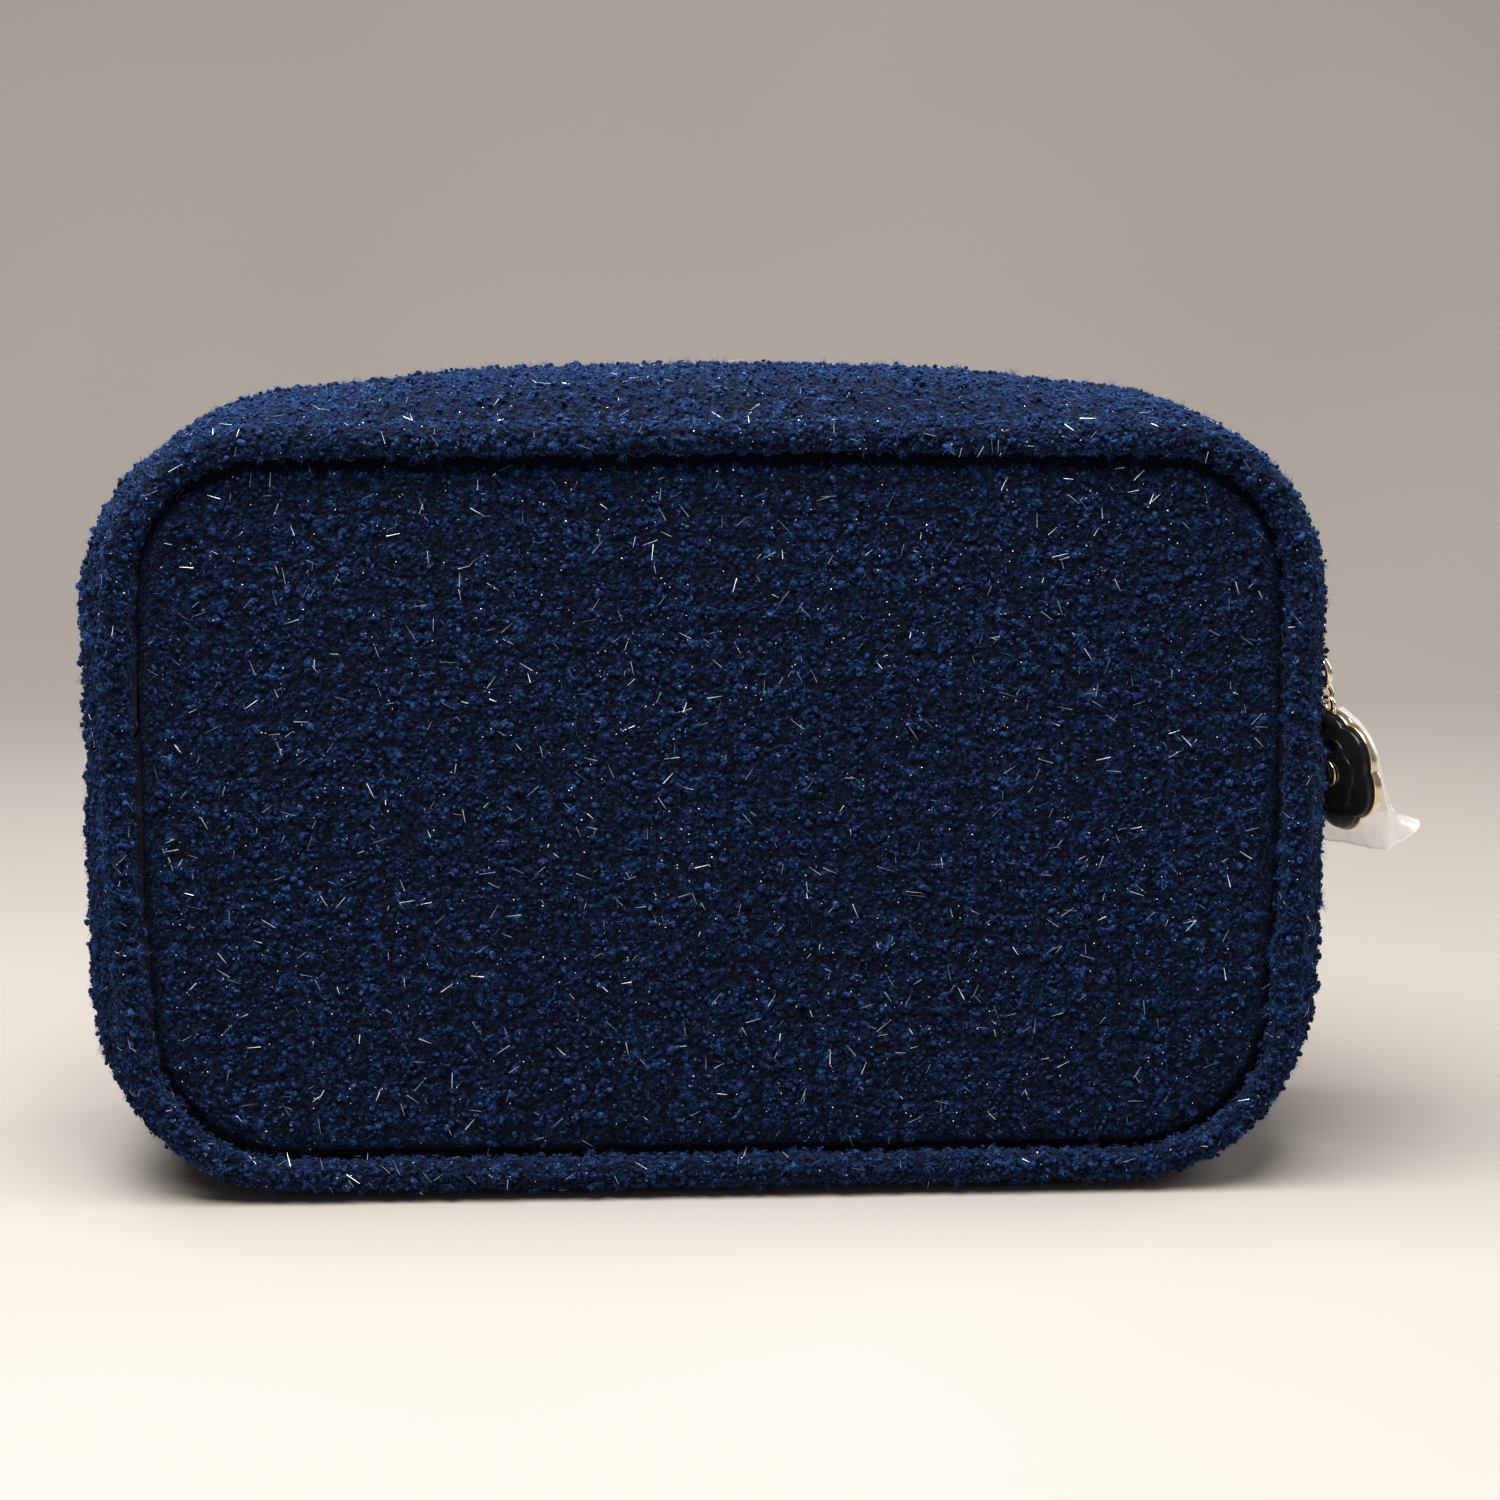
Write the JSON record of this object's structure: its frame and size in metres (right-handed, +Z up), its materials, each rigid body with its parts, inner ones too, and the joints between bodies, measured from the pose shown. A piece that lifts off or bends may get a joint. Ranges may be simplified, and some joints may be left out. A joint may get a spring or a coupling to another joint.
{
  "type": "zippered pouch",
  "caption": "Box-shaped zippered cosmetic pouch in piped boucle tweed, with a domed zip gusset and an enamelled charm on the zip pull.",
  "frame": {"origin": "centre of the resting face of the base gusset", "axes": "+Z up; +X towards the zip pull, to the right seen from the front; the front panel faces -Y"},
  "size_m": [0.2667, 0.0816, 0.16],
  "materials": {
    "tweed": "navy boucle tweed with fine silver metallic yarn",
    "lining": "plain dark navy woven lining",
    "foam": "open-cell foam interlining",
    "cord": "soft cotton piping cord",
    "tape": "navy herringbone zip tape",
    "zip_coil": "navy nylon coil",
    "board": "fibre stiffening board",
    "gold_metal": "polished pale gold plate",
    "spring_steel": "plain spring steel",
    "black_enamel": "glossy black enamel",
    "clear_film": "thin clear protective film, slightly wrinkled"
  },
  "bodies": {
    "root": {"back_panel_face": "tweed", "back_panel_foam": "foam", "back_panel_lining": "lining", "back_piping_cover": "tweed", "back_piping_cord": "cord", "back_seam_binding": "tape", "front_panel_face_lower": "tweed", "front_panel_foam_lower": "foam", "front_panel_lining_lower": "lining", "front_piping_cover_lower": "tweed", "front_piping_cord_lower": "cord", "front_seam_binding_lower": "tape", "back_zip_facing": "tweed", "back_facing_foam": "foam", "back_facing_lining": "lining", "back_zip_tape": "tape", "back_zip_coil": "zip_coil", "zip_bottom_stop": "gold_metal", "back_top_stop": "gold_metal", "zip_end_tab_right": "lining", "zip_end_tab_left": "lining", "base_gusset_face": "tweed", "base_gusset_foam": "foam", "base_gusset_lining": "lining", "base_board": "board"},
    "front_lip": {"front_panel_face_upper": "tweed", "front_panel_foam_upper": "foam", "front_panel_lining_upper": "lining", "front_piping_cover_upper": "tweed", "front_piping_cord_upper": "cord", "front_seam_binding_upper": "tape", "front_zip_facing": "tweed", "front_facing_foam": "foam", "front_facing_lining": "lining", "front_zip_tape": "tape", "front_zip_coil": "zip_coil", "front_top_stop": "gold_metal"},
    "slider": {"slider_body": "gold_metal", "slider_bail": "gold_metal", "slider_lock_spring": "spring_steel"},
    "pull_ring": {"pull_ring": "gold_metal"},
    "connector_link": {"connector_link": "gold_metal"},
    "charm": {"charm_setting": "gold_metal", "charm_enamel": "black_enamel", "charm_collar": "gold_metal", "charm_bead": "black_enamel", "film_sleeve": "clear_film"}
  },
  "joints": [
    {"name": "lip_open", "type": "hinge", "parent": "root", "child": "front_lip", "pos_m": [0, -0.0415, 0.077], "axis": [1, 0, 0], "range_deg": [0, 30]},
    {"name": "slider_travel", "type": "hinge", "parent": "root", "child": "slider", "pos_m": [0.075, 0, 0.1105], "axis": [0, -1, 0], "range_deg": [0, 75]},
    {"name": "ring_swing", "type": "hinge", "parent": "slider", "child": "pull_ring", "pos_m": [0.12425, 0, 0.10095], "axis": [0, -1, 0], "range_deg": [0, 95]},
    {"name": "link_swing", "type": "hinge", "parent": "pull_ring", "child": "connector_link", "pos_m": [0.12596, 0, 0.09427], "axis": [0.4392, -0.8984, 0], "range_deg": [0, 35]},
    {"name": "charm_swing", "type": "hinge", "parent": "connector_link", "child": "charm", "pos_m": [0.12775, 0, 0.09132], "axis": [-0.8988, -0.4384, 0], "range_deg": [0, 30]}
  ]
}
